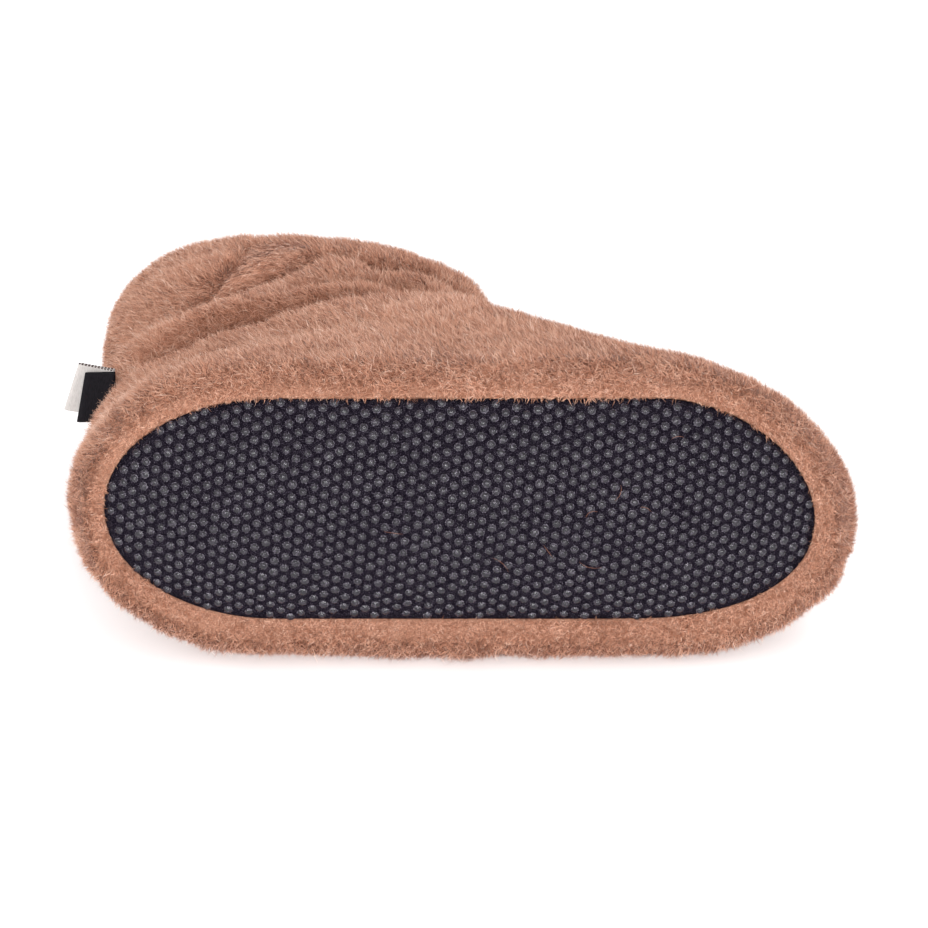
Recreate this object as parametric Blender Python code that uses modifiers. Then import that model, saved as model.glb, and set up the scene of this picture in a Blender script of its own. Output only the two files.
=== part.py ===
"""Wool slipper boot for the right foot, lying on its inner side: upper, shaft, studded fabric sole, insole and two
sewn-in labels. Run with: blender --background --python part.py

The shoe's own frame has X from heel to toe, Y to the inner (big toe) side and Z up from the sole. An empty lays it
on its inner side, so that the sole faces -Y and the shaft lies along the floor towards +Y.
"""
import math

import bpy
import numpy as np

# Driving sizes of the sole, in metres.
SOLE_LENGTH = 0.252
SOLE_WIDTH = 0.082
SOLE_HEEL_ROUND = 0.060
SOLE_TOE_ROUND = 0.060
SOLE_CROWN = 0.0085
SOLE_THICKNESS = 0.0025
TOE_SPRING = 0.007
TOE_SPRING_LENGTH = 0.080
TOE_SWING = 0.007
TOE_SWING_LENGTH = 0.060

# Driving sizes of the wool parts, over the backing and the dense part of the pile. Overhangs go past the sole's edge.
HEEL_OVERHANG = 0.0130
TOE_OVERHANG = 0.0145
OUTER_OVERHANG = 0.0130
INNER_OVERHANG = 0.0170
HEEL_HEIGHT = 0.0775
INSTEP_HEIGHT = 0.1010
COLLAR_HEIGHT = 0.180
WOOL_THICKNESS = 0.007
INSOLE_THICKNESS = 0.006

# How the shoe lies: the sole leans back from upright, and the floor runs this far outside the inner side's reach.
LEAN_BACK = math.radians(15)
FLOOR_OFFSET = 0.0025

# Labels sewn into the seam at the back of the ankle, both of the same ribbon, off to the outer side.
LABEL_WIDTH = 0.0185
LABEL_REACH = 0.0205
LABEL_ASIDE = 0.0210
LABEL_LOOP = 0.0030
LABEL_THICKNESS = 0.0005
LABEL_CLEARANCE = 0.0007

GAP = 0.0003
WELD_DISTANCE = 0.00005
SLOPE_STEP = 0.00001

POINTS_AROUND = 58
RINGS_PER_SECTION = 3
FINE_STEPS = 400
SOLE_RINGS = 7
LABEL_STEPS = 6
FOLD_STEPS = 7

# The upper and shaft, one row for each section from the sole's edge to the collar.
# back: how far the section reaches behind the sole, as a share of HEEL_OVERHANG.
# front: where its front end is, as a share of the length from the sole's heel to the upper's toe.
# back_rise, front_rise: heights at its back and front, 0 at the sole's edge, 1 at the ankle seam, 2 at the collar.
# outer, inner: reach to each side of the middle line, as shares of the foot's full reach there.
# back_round, front_round: length over which each end rounds off, as shares of the section's own length.
SECTIONS = (
    ("roll", 0.50, 0.972, 0.02, 0.02, 0.855, 0.88, 0.24, 0.23),
    ("lower_side", 0.88, 0.992, 0.12, 0.09, 0.945, 0.99, 0.25, 0.25),
    ("full_side", 1.00, 1.000, 0.27, 0.20, 0.970, 1.00, 0.28, 0.30),
    ("upper_side", 0.98, 0.990, 0.42, 0.32, 0.970, 0.99, 0.35, 0.39),
    ("toe_top", 0.95, 0.953, 0.56, 0.44, 0.985, 0.95, 0.45, 0.46),
    ("vamp", 0.92, 0.880, 0.66, 0.54, 1.010, 0.89, 0.55, 0.45),
    ("instep", 0.88, 0.770, 0.76, 0.68, 1.040, 0.82, 0.61, 0.39),
    ("instep_top", 0.82, 0.665, 0.86, 0.85, 1.025, 0.74, 0.63, 0.37),
    ("ankle_seam", 0.62, 0.575, 1.00, 1.00, 0.850, 0.64, 0.58, 0.42),
    ("ankle_fold", 0.95, 0.535, 1.17, 1.18, 0.980, 0.56, 0.52, 0.43),
    ("ankle_dip", 0.95, 0.515, 1.39, 1.38, 0.955, 0.50, 0.48, 0.46),
    ("shaft", 1.10, 0.514, 1.65, 1.61, 1.040, 0.44, 0.42, 0.46),
    ("collar_side", 1.12, 0.520, 1.86, 1.85, 1.050, 0.39, 0.42, 0.46),
    ("collar", 1.04, 0.515, 2.00, 2.00, 1.030, 0.34, 0.42, 0.46),
)
SEAM_SECTION = "ankle_seam"

# The labels, one row for each loop of ribbon, from the sole upwards.
# aside: how far its middle lies to the outer side of the shoe's middle line, as a share of LABEL_ASIDE.
# reach: how far it stands out from the wool, as a share of LABEL_REACH.
# skew: how much further it reaches on the inner side than on the outer, as a share of LABEL_WIDTH.
LABELS = (
    ("black_label", 0.905, 0.68, 0.20, "black_ribbon"),
    ("white_label", 1.085, 1.00, 0.32, "white_ribbon"),
)

COLOURS = {
    "wool": (0.42, 0.23, 0.155, 1.0),
    "lining": (0.44, 0.25, 0.17, 1.0),
    "sole_fabric": (0.022, 0.020, 0.028, 1.0),
    "white_ribbon": (0.80, 0.77, 0.74, 1.0),
    "black_ribbon": (0.012, 0.012, 0.015, 1.0),
}


def clear_scene():
    for old in list(bpy.data.objects):
        bpy.data.objects.remove(old)


def material(name, roughness):
    """A plain finish for one kind of cloth."""
    made = bpy.data.materials.new(name)
    made.use_nodes = True
    shader = made.node_tree.nodes["Principled BSDF"]
    shader.inputs["Base Color"].default_value = COLOURS[name]
    shader.inputs["Roughness"].default_value = roughness
    shader.inputs["Metallic"].default_value = 0.0
    return made


def add_object(name, points, faces, finish, parent, collection):
    mesh = bpy.data.meshes.new(name)
    mesh.from_pydata([tuple(point) for point in points], [], [tuple(face) for face in faces])
    mesh.validate()
    mesh.shade_smooth()
    mesh.materials.append(finish)
    made = bpy.data.objects.new(name, mesh)
    collection.objects.link(made)
    made.parent = parent
    return made


def thicken(made, thickness):
    """Gives an open surface its thickness, away from the side that its faces point to."""
    solid = made.modifiers.new("Thickness", "SOLIDIFY")
    solid.thickness = thickness
    solid.offset = -1.0
    solid.use_even_offset = True
    return made


def toe_spring(x):
    """Lift of the sole towards the toe, growing as the square of the distance past its start."""
    past = np.clip((x - (SOLE_LENGTH - TOE_SPRING_LENGTH)) / TOE_SPRING_LENGTH, 0.0, None)
    return TOE_SPRING * past**2


def toe_swing(x):
    """Turn of the toe towards the inner side, which makes this a right shoe."""
    past = np.clip((x - (SOLE_LENGTH - TOE_SWING_LENGTH)) / TOE_SWING_LENGTH, 0.0, None)
    return TOE_SWING * past**2


def outline(back, front, outer, inner, back_round, front_round):
    """Closed plan outline: straight sides with an elliptic end of its own length at heel and toe.

    Points run evenly from the toe along the outer side to the heel, and back along the inner side.
    """
    turn = np.linspace(0.0, math.pi, FINE_STEPS)
    along = np.cos(turn)
    x = np.where(along > 0, front - front_round * (1 - along), back + back_round * (1 + along))
    reach = np.sin(turn)
    middle = (inner - outer) / 2
    half = (inner + outer) / 2
    steps = np.hypot(np.diff(x), np.diff(half * reach))
    travelled = np.concatenate([[0.0], np.cumsum(steps)])
    wanted = np.linspace(0.0, travelled[-1], POINTS_AROUND // 2 + 1)
    x_side = np.interp(wanted, travelled, x)
    reach_side = np.interp(wanted, travelled, reach)
    x_all = np.concatenate([x_side, x_side[-2:0:-1]])
    y_all = np.concatenate([middle - half * reach_side, (middle + half * reach_side)[-2:0:-1]])
    return x_all, y_all + toe_swing(x_all)


def sole_height(x, y):
    """The crowned bottom of the sole: lowest along its middle, and at the edge only as high as the toe spring."""
    half = SOLE_WIDTH / 2
    heel = np.clip((SOLE_HEEL_ROUND - x) / SOLE_HEEL_ROUND, 0.0, None)
    toe = np.clip((x - (SOLE_LENGTH - SOLE_TOE_ROUND)) / SOLE_TOE_ROUND, 0.0, None)
    to_edge = ((y - toe_swing(x)) / half) ** 2 + heel**2 + toe**2
    return toe_spring(x) - SOLE_CROWN * (1 - to_edge)


def sole_normal(x, y):
    """Unit normals of the crowned bottom, pointing up into the shoe."""
    slope_x = (sole_height(x + SLOPE_STEP, y) - sole_height(x - SLOPE_STEP, y)) / (2 * SLOPE_STEP)
    slope_y = (sole_height(x, y + SLOPE_STEP) - sole_height(x, y - SLOPE_STEP)) / (2 * SLOPE_STEP)
    normal = np.stack([-slope_x, -slope_y, np.ones_like(x)], axis=-1)
    return normal / np.linalg.norm(normal, axis=-1, keepdims=True)


def sole_sheet(inset, lift):
    """An open sheet that follows the sole, its edge inset all round and lifted along the sole's normal.

    Its rings shrink from the edge to the middle line, where opposite points meet.
    """
    half = SOLE_WIDTH / 2 - inset
    edge_x, edge_y = outline(inset, SOLE_LENGTH - inset, half, half,
                             SOLE_HEEL_ROUND - inset, SOLE_TOE_ROUND - inset)
    spine_x = np.clip(edge_x, SOLE_HEEL_ROUND, SOLE_LENGTH - SOLE_TOE_ROUND)
    rings = []
    for share in np.linspace(1.0, 0.0, SOLE_RINGS):
        x = spine_x + (edge_x - spine_x) * share
        y = toe_swing(x) + (edge_y - toe_swing(edge_x)) * share
        base = np.stack([x, y, sole_height(x, y)], axis=-1)
        rings.append(base + lift * sole_normal(x, y))
    points = np.concatenate(rings)
    faces = []
    for ring in range(SOLE_RINGS - 1):
        for i in range(POINTS_AROUND):
            j = (i + 1) % POINTS_AROUND
            here, after = ring * POINTS_AROUND, (ring + 1) * POINTS_AROUND
            faces.append((here + i, here + j, after + j, after + i))
    return points, faces


def make_sheet(name, inset, lift, thickness, finish, parent, collection):
    """A sole or insole: the sheet that follows the sole, with its doubles merged and its thickness added inwards."""
    points, faces = sole_sheet(inset, lift)
    made = add_object(name, points, faces, finish, parent, collection)
    weld = made.modifiers.new("Middle line", "WELD")
    weld.merge_threshold = WELD_DISTANCE
    return thicken(made, thickness)


def section_rings():
    """The sections of the upper and shaft as rings of points, from the sole's edge to the collar."""
    half = SOLE_WIDTH / 2
    x, y = outline(-GAP, SOLE_LENGTH + GAP, half + GAP, half + GAP, SOLE_HEEL_ROUND, SOLE_TOE_ROUND)
    rings = [np.stack([x, y, toe_spring(x)], axis=-1)]
    upper_toe = SOLE_LENGTH + TOE_OVERHANG
    for _, back, front, back_rise, front_rise, outer, inner, back_round, front_round in SECTIONS:
        back_x = -back * HEEL_OVERHANG
        front_x = front * upper_toe
        length = front_x - back_x
        x, y = outline(back_x, front_x, outer * (half + OUTER_OVERHANG), inner * (half + INNER_OVERHANG),
                       back_round * length, front_round * length)
        back_height = np.interp(back_rise, (0, 1, 2), (0, HEEL_HEIGHT, COLLAR_HEIGHT))
        front_height = np.interp(front_rise, (0, 1, 2), (0, INSTEP_HEIGHT, COLLAR_HEIGHT))
        height = back_height + (front_height - back_height) * (x - back_x) / length
        rings.append(np.stack([x, y, height + toe_spring(x)], axis=-1))
    return np.array(rings)


def smooth_rings(rings):
    """Rings between the sections, on a curve that passes through every section (Catmull-Rom)."""
    ends = np.concatenate([2 * rings[:1] - rings[1:2], rings, 2 * rings[-1:] - rings[-2:-1]])
    made = []
    for k in range(len(rings) - 1):
        before, start, stop, after = ends[k:k + 4]
        for t in np.arange(RINGS_PER_SECTION) / RINGS_PER_SECTION:
            made.append(0.5 * (2 * start + (stop - before) * t
                               + (2 * before - 5 * start + 4 * stop - after) * t**2
                               + (3 * start - before - 3 * stop + after) * t**3))
    made.append(rings[-1])
    return np.array(made)


def press_on_floor(points):
    """Points that would reach below the floor are pressed flat onto it."""
    up = np.array([0.0, -math.cos(LEAN_BACK), -math.sin(LEAN_BACK)])
    floor_depth = SOLE_WIDTH / 2 + INNER_OVERHANG + FLOOR_OFFSET
    below = np.clip(-(points @ up + floor_depth), 0.0, None)
    return points + below[..., None] * up


def grid_normals(rings):
    """Outward unit normals of a tube of rings, from the differences between neighbouring points."""
    around = np.roll(rings, -1, axis=1) - np.roll(rings, 1, axis=1)
    along = np.gradient(rings, axis=0)
    normals = np.cross(along, around)
    return normals / np.linalg.norm(normals, axis=-1, keepdims=True)


def tube_faces(count, offset, flip):
    """Quads of a tube of rings whose first point has this index."""
    faces = []
    for ring in range(count - 1):
        for i in range(POINTS_AROUND):
            j = (i + 1) % POINTS_AROUND
            a = offset + ring * POINTS_AROUND
            b = a + POINTS_AROUND
            face = (a + i, a + j, b + j, b + i)
            faces.append(face[::-1] if flip else face)
    return faces


def make_wall(name, outside, inside, finish, parent, collection):
    """A hollow tube with a wall: rings outside and inside, joined at both open ends."""
    count = len(outside)
    size = count * POINTS_AROUND
    faces = tube_faces(count, 0, flip=True) + tube_faces(count, size, flip=False)
    for first in (0, size - POINTS_AROUND):
        for i in range(POINTS_AROUND):
            j = (i + 1) % POINTS_AROUND
            pair = [(first + i, first + j, size + first + j), (first + i, size + first + j, size + first + i)]
            faces += pair if first == 0 else [face[::-1] for face in pair]
    points = np.concatenate([outside.reshape(-1, 3), inside.reshape(-1, 3)])
    return add_object(name, points, faces, finish, parent, collection)


def wool_walls():
    """Outside and inside rings of the upper and of the shaft, which meet at the ankle seam with the usual gap."""
    outside = press_on_floor(smooth_rings(section_rings()))
    inside = outside - WOOL_THICKNESS * grid_normals(outside)
    names = [row[0] for row in SECTIONS]
    seam = (names.index(SEAM_SECTION) + 1) * RINGS_PER_SECTION
    step = outside[seam + 1] - outside[seam]
    clearance = GAP * step / np.linalg.norm(step, axis=-1)[:, None]
    walls = []
    for rings in (outside, inside):
        shaft = rings[seam:].copy()
        shaft[0] += clearance
        walls.append((rings[:seam + 1], shaft))
    return walls, outside[seam - RINGS_PER_SECTION:seam + RINGS_PER_SECTION + 1]


def wool_behind(rings, across, height):
    """How far back the wool reaches at one height, at each of these distances across the heel."""
    reach = []
    for side in across:
        behind = []
        for ring in rings:
            back = ring[ring[:, 0] < ring[:, 0].min() + LABEL_WIDTH]
            back = back[np.argsort(back[:, 1])]
            behind.append([np.interp(side, back[:, 1], back[:, axis]) for axis in (0, 2)])
        x, z = np.transpose(behind)
        reach.append(np.interp(height, z, x))
    return np.array(reach) - LABEL_CLEARANCE


def make_label(name, rings, height, aside, reach, skew, finish, parent, collection):
    """A ribbon folded into a loop, its two ends held at the seam at the back of the ankle.

    Its edge runs out along one layer, round the fold and back along the other, and is carried across the heel,
    starting from the wool behind the seam and reaching a little further on one side than on the other.
    """
    share = np.linspace(-0.5, 0.5, LABEL_STEPS)
    across = LABEL_WIDTH * share - aside
    fold = (LABEL_LOOP - LABEL_THICKNESS) / 2
    turn = np.linspace(-math.pi / 2, math.pi / 2, FOLD_STEPS)
    starts = [wool_behind(rings, across, height - fold), wool_behind(rings, across, height + fold)]
    tip = starts[0].mean() - reach + fold - skew * share
    x = np.column_stack([starts[0], tip[:, None] - fold * np.cos(turn), starts[1]])
    rise = np.concatenate([[-fold], fold * np.sin(turn), [fold]])
    points = np.stack([x, across[:, None] + 0 * x, height + rise + 0 * x], axis=-1)
    count = len(rise)
    faces = []
    for step in range(LABEL_STEPS - 1):
        for i in range(count - 1):
            a = step * count + i
            faces.append((a, a + 1, a + count + 1, a + count))
    made = add_object(name, points.reshape(-1, 3), faces, finish, parent, collection)
    return thicken(made, LABEL_THICKNESS)


def make_labels(ankle, parent, collection):
    """The two labels one above the other, with the seam's height between them."""
    height = ankle[RINGS_PER_SECTION, POINTS_AROUND // 2, 2] - (LABEL_LOOP + GAP) / 2
    labels = []
    for name, aside, reach, skew, ribbon in LABELS:
        labels.append(make_label(name, ankle, height, aside * LABEL_ASIDE, reach * LABEL_REACH, skew * LABEL_WIDTH,
                                 material(ribbon, 0.6), parent, collection))
        height += LABEL_LOOP + GAP
    return labels


def stand_on_floor(holder, parts):
    """Moves the whole shoe so that its box stands on the floor, centred over the origin."""
    bpy.context.view_layer.update()
    depsgraph = bpy.context.evaluated_depsgraph_get()
    points = []
    for made in parts:
        shape = made.evaluated_get(depsgraph)
        flat = np.empty(3 * len(shape.data.vertices))
        shape.data.vertices.foreach_get("co", flat)
        turn = np.array(shape.matrix_world)
        points.append(flat.reshape(-1, 3) @ turn[:3, :3].T + turn[:3, 3])
    points = np.concatenate(points)
    low, high = points.min(axis=0), points.max(axis=0)
    holder.location = (-(low[0] + high[0]) / 2, -(low[1] + high[1]) / 2, -low[2])


def main():
    clear_scene()
    shoe = bpy.data.collections.new("wool_slipper")
    bpy.context.scene.collection.children.link(shoe)
    lay_down = bpy.data.objects.new("lay_down", None)
    shoe.objects.link(lay_down)
    lay_down.rotation_euler = (-(math.pi / 2 + LEAN_BACK), 0.0, 0.0)

    wool = material("wool", 0.95)
    walls, ankle = wool_walls()
    (upper_out, shaft_out), (upper_in, shaft_in) = walls
    parts = [
        make_wall("upper", upper_out, upper_in, wool, lay_down, shoe),
        make_wall("shaft", shaft_out, shaft_in, wool, lay_down, shoe),
        make_sheet("sole", 0.0, 0.0, SOLE_THICKNESS, material("sole_fabric", 0.7), lay_down, shoe),
        make_sheet("insole", GAP, SOLE_THICKNESS + GAP, INSOLE_THICKNESS, material("lining", 0.95), lay_down, shoe),
    ]
    parts += make_labels(ankle, lay_down, shoe)
    stand_on_floor(lay_down, parts)


main()
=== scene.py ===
"""Looks of the wool slipper boot: wool pile over upper and shaft, studded sole, insole and two ribbons.

Shapes are worked out in the shoe's own frame, X from heel to toe, Y to the inner side and Z up from the
sole, on the same sections as the solids, and are then laid on the inner side as the solids lie.
"""
import itertools
import math

import bpy
import bmesh
import numpy as np
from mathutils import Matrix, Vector


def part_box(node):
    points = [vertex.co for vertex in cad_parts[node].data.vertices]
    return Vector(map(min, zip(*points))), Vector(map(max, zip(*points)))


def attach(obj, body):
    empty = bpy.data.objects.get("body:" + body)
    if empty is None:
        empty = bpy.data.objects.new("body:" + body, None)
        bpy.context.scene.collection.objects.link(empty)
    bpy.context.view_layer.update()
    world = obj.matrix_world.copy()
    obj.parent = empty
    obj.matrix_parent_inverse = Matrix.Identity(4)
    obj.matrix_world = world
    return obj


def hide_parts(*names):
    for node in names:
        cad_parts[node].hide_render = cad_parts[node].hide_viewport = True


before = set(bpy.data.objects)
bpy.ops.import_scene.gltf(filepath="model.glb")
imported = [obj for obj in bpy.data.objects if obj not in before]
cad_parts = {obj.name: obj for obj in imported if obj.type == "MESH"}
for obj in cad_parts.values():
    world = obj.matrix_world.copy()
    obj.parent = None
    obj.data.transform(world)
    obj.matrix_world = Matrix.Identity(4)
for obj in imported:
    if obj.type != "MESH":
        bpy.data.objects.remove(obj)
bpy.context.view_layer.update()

# The sole, in metres.
SOLE_LENGTH = 0.252
SOLE_WIDTH = 0.082
SOLE_HEEL_ROUND = 0.060
SOLE_TOE_ROUND = 0.060
SOLE_CROWN = 0.0085
SOLE_THICKNESS = 0.0025
TOE_SPRING = 0.007
TOE_SPRING_LENGTH = 0.080
TOE_SWING = 0.007
TOE_SWING_LENGTH = 0.060

# The wool parts, as overhangs past the sole's edge and heights above it.
HEEL_OVERHANG = 0.0130
TOE_OVERHANG = 0.0145
OUTER_OVERHANG = 0.0130
INNER_OVERHANG = 0.0170
HEEL_HEIGHT = 0.0775
INSTEP_HEIGHT = 0.1010
COLLAR_HEIGHT = 0.180
WOOL_THICKNESS = 0.007
INSOLE_THICKNESS = 0.006
GAP = 0.0003

# How the shoe lies: leaning back from upright, on a floor this far outside the inner side's reach.
LEAN_BACK = math.radians(15)
FLOOR_OFFSET = 0.0025

# The sections of upper and shaft: back, front, back_rise, front_rise, outer, inner, back_round, front_round.
SECTIONS = (
    ("roll", 0.50, 0.972, 0.02, 0.02, 0.855, 0.88, 0.24, 0.23),
    ("lower_side", 0.88, 0.992, 0.12, 0.09, 0.945, 0.99, 0.25, 0.25),
    ("full_side", 1.00, 1.000, 0.27, 0.20, 0.970, 1.00, 0.28, 0.30),
    ("upper_side", 0.98, 0.990, 0.42, 0.32, 0.970, 0.99, 0.35, 0.39),
    ("toe_top", 0.95, 0.953, 0.56, 0.44, 0.985, 0.95, 0.45, 0.46),
    ("vamp", 0.92, 0.880, 0.66, 0.54, 1.010, 0.89, 0.55, 0.45),
    ("instep", 0.88, 0.770, 0.76, 0.68, 1.040, 0.82, 0.61, 0.39),
    ("instep_top", 0.82, 0.665, 0.86, 0.85, 1.025, 0.74, 0.63, 0.37),
    ("ankle_seam", 0.62, 0.575, 1.00, 1.00, 0.850, 0.64, 0.58, 0.42),
    ("ankle_fold", 0.95, 0.535, 1.17, 1.18, 0.980, 0.56, 0.52, 0.43),
    ("ankle_dip", 0.95, 0.515, 1.39, 1.38, 0.955, 0.50, 0.48, 0.46),
    ("shaft", 1.10, 0.514, 1.65, 1.61, 1.040, 0.44, 0.42, 0.46),
    ("collar_side", 1.12, 0.520, 1.86, 1.85, 1.050, 0.39, 0.42, 0.46),
    ("collar", 1.04, 0.515, 2.00, 2.00, 1.030, 0.34, 0.42, 0.46),
)
SEAM_SECTION = "ankle_seam"
POINTS_AROUND = 240
RINGS_PER_SECTION = 7
FINE_STEPS = 1200
COLLAR_STEPS = 7
SOLE_RING_COUNT = 20
INSOLE_RING_COUNT = 8
SLOPE_STEP = 0.00001
MERGE_DISTANCE = 0.00004

# Soft folds, one row for each ridge or trough.
# from, over and to: the places its line starts at, bows towards and ends at, seen from the side, as
# (share of SOLE_LENGTH from the heel, share of COLLAR_HEIGHT above the sole).
# width: half width of its bell, and height: how far it stands out or sinks in, as shares of WOOL_THICKNESS.
# comb: how strongly the pile lies along its line, backwards from its end, with 0 for not at all.
FOLDS = (
    ("heel_hollow", (0.02, 0.36), (0.10, 0.37), (0.20, 0.38), 1.7, -0.42, 0.0),
    ("ankle_hollow", (-0.04, 0.58), (0.15, 0.61), (0.38, 0.70), 2.0, -0.55, 0.0),
    ("seam_trough", (0.05, 0.455), (0.18, 0.50), (0.36, 0.57), 0.85, -0.65, 0.0),
    ("label_seat", (-0.03, 0.45), (0.00, 0.45), (0.03, 0.455), 0.9, 0.45, 0.0),
    ("ankle_ridge_back", (0.00, 0.52), (0.10, 0.54), (0.20, 0.625), 0.85, 0.30, 0.0),
    ("ankle_ridge_front", (0.21, 0.63), (0.27, 0.70), (0.35, 0.74), 0.80, 0.26, 0.0),
    ("lens_trough", (0.07, 0.60), (0.15, 0.65), (0.25, 0.765), 0.45, -0.42, 0.6),
    ("upper_trough", (0.25, 0.785), (0.31, 0.835), (0.38, 0.80), 0.65, -0.45, 0.0),
    ("combed_fold", (0.130, 0.670), (0.178, 0.755), (0.228, 0.84), 1.10, 0.25, 7.0),
    ("star_crease", (0.095, 0.64), (0.135, 0.74), (0.165, 0.88), 0.42, -0.50, 0.0),
    ("star_pit", (0.145, 0.775), (0.15, 0.78), (0.155, 0.785), 0.55, -0.34, 0.0),
    ("back_lobe", (0.02, 0.72), (0.06, 0.75), (0.09, 0.80), 1.40, 0.15, 0.0),
    ("front_lobe", (0.38, 0.735), (0.425, 0.775), (0.50, 0.74), 0.70, 0.25, 0.0),
    ("front_trough", (0.37, 0.80), (0.44, 0.85), (0.51, 0.835), 0.60, -0.42, 0.0),
    ("middle_ridge", (0.27, 0.60), (0.33, 0.62), (0.375, 0.615), 0.60, 0.30, 0.0),
    ("middle_trough", (0.25, 0.65), (0.32, 0.685), (0.37, 0.69), 0.50, -0.22, 0.0),
    ("instep_swell", (0.34, 0.50), (0.42, 0.48), (0.50, 0.43), 2.40, 0.20, 0.0),
    ("instep_dip", (0.55, 0.43), (0.60, 0.39), (0.67, 0.34), 1.50, -0.30, 0.0),
    ("toe_dip", (0.73, 0.27), (0.79, 0.17), (0.91, 0.12), 1.20, -0.26, 0.0),
    ("collar_back", (-0.03, 0.95), (-0.01, 0.99), (0.04, 1.00), 1.70, 0.26, 0.0),
    ("collar_front", (0.31, 1.00), (0.38, 0.99), (0.45, 1.00), 1.50, -0.32, 0.0),
)
FOLD_STEPS = 24
NARROW_FOLD = 1.0
TOP_SIDE = (0.014, -0.012)
LUMP_HEIGHT = 0.0007
MOUND_HEIGHT = 0.00080
TOE_SWELL = 0.0012
TOE_SWELL_REACH = (SOLE_LENGTH - 0.5 * TOE_OVERHANG, SOLE_LENGTH + 0.8 * TOE_OVERHANG)

# Soft noise, each as its size and its seed.
LUMPS = (0.026, 11)
MOUNDS = (0.0085, 12)
WIDE_DRIFT = (0.024, 21)
FINE_DRIFT = (0.006, 24)
LENGTH_PATCHES = (0.009, 41)
LEAN_PATCHES = (0.005, 42)
FINE_TONES = (0.0045, 43)
WIDE_TONES = (0.020, 44)
SHADE_SPECKS = (0.0011, 45)
FINE_RAGS = (0.004, 46)
WIDE_RAGS = (0.014, 48)

# The pile. Hairs stand on a skin set this far inside the dense wool, and lean this far from upright.
SKIN_INSET = 0.0006
HAIR_LENGTH = 0.0047
HAIR_WIDTH = 0.00027
HAIR_LEAN = math.radians(52)
HAIR_STRAY = math.radians(46)
EDGE_STRAY = math.radians(80)
HAIR_CURL = math.radians(60)
HAIR_TWIST = 0.7
LENGTH_RANGE = (0.72, 1.15)
WIDTH_RANGE = (0.65, 1.25)
LEAN_SPREAD = 0.20
LEAN_RANGE = (0.15, 1.40)
LOW_LEAN = 0.68
HIGH_LEAN_MOST = 1.52
BEND_FOLLOWS = 0.35
SURFACE_SHADE = 0.62
FINE_BEND = 0.20
BENT_BEND = 0.52
BENT_SHARE = 0.09
EDGE_BENT_SHARE = 0.26
EDGE_BAND = 0.020
EDGE_LENGTH = 0.36
LONG_HAIR_SHARE = 0.035
EDGE_LONG_SHARE = 0.20
COMB_LEAN = 0.12
COMB_LIMIT = 3.0
COMB_CALM = 0.65
SHADE_GAP_START = 0.25
TONE_MIDDLE = 0.455
TONE_SPREAD = 0.16
# Along each hair: painted shade at the root and low on fine hairs, painted light at the tip.
ROOT_PAINTED_SHADE = -0.22
TIP_PAINTED_LIGHT = 0.20
FINE_LOW_PAINTED_SHADE = -0.14
LONG_TONE = 0.22
# Painted shade in narrow troughs and painted light on narrow ridges, as tone per metre of their relief.
TROUGH_PAINTED_SHADE = 25
RIDGE_PAINTED_LIGHT = 12
NAP_ON_SIDE = (-0.85, 0.0, 0.48)
NAP_AT_EDGE = (-0.45, 0.0, -0.40)
DRIFT_STRENGTH = 0.45
TUFT_SEED = 31
TUFT_SIZE = 0.0026
TUFT_PULL = 0.20
EDGE_TUFT_PULL = 0.46
UPPER_HAIRS = 400000
SHAFT_HAIRS = 175000
RIM_HAIRS = 34000
INSOLE_HAIRS = 14000
RESTING_THIN = 0.6
COLLAR_LENGTH = 0.8
INSOLE_LENGTH = 0.6
LINING_DEPTH = 0.055
FLOOR_CLEARANCE = 0.0003

# The studs of the sole, on a lattice of equal triangles turned a little from the shoe's length.
STUD_PITCH = 0.0043
STUD_TURN = math.radians(-7)
STUD_RADIUS = 0.00161
STUD_HEIGHT = 0.00090
STUD_SIDES = 10
STUD_ROWS = 80
STUD_LIMIT = 0.955
STUD_SHIFT = 0.00008
STUD_RADIUS_SPREAD = 0.045
STUD_HEIGHT_SPREAD = 0.10
STUD_PROFILE = (  # share of the radius, share of the height, tone
    (1.00, -0.10, 1.0), (0.96, 0.22, 1.0), (0.84, 0.32, 0.5), (0.70, 0.68, 0.0), (0.38, 0.93, 0.0),
)
FOOT_STRETCH = 0.951

# Loose fibres: short fuzz brushed up from the sole's fabric, and a few hairs of the pile that lie on it.
FUZZ_COUNT = 12000
FUZZ_LENGTH = 0.0011
FUZZ_WIDTH = 0.00012
FUZZ_LIMIT = 0.97
STRAY_HAIRS = 8
STRAY_LENGTH = 0.0065
STRAY_WIDTH = 0.00008
STRAY_STEPS = 9
STRAY_TONE = 0.15

# The ribbons sewn in at the back of the ankle.
LABEL_WIDTH = 0.0190
LABEL_OVERHANG = 0.0007
LABEL_LOOP = 0.0030
LABEL_THICKNESS = 0.0004
LABEL_ASIDE = 0.0210
LABEL_ROWS = 29
LABEL_STEPS = 14
LABEL_FOLD_STEPS = 9
# The dark line along one edge of a ribbon: full up to the second distance from that edge, gone past the
# first.
LABEL_DARK_EDGE = (0.0007, 0.0002)
DARK_TICK_PITCH = 0.0012
DARK_TICK_WAVE = math.pi / 10
LABELS = (  # name, node, aside, skew, slope, curl, start, kind
    ("black_ribbon_loop", "black_label", 0.905, 0.20, 0.00, 0.0006, 0.0096, "black_ribbon"),
    ("white_ribbon_loop", "white_label", 1.100, 0.32, 0.20, 0.0012, 0.0100, "white_ribbon"),
)
RIBBON_COLOURS = {  # dark and pale yarn, and the colour of the dark line of ticks along one edge
    "black_ribbon": ((0.004, 0.0035, 0.005), (0.012, 0.010, 0.014), None),
    "white_ribbon": ((0.54, 0.505, 0.485), (0.69, 0.655, 0.63), (0.045, 0.020, 0.018)),
}

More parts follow.
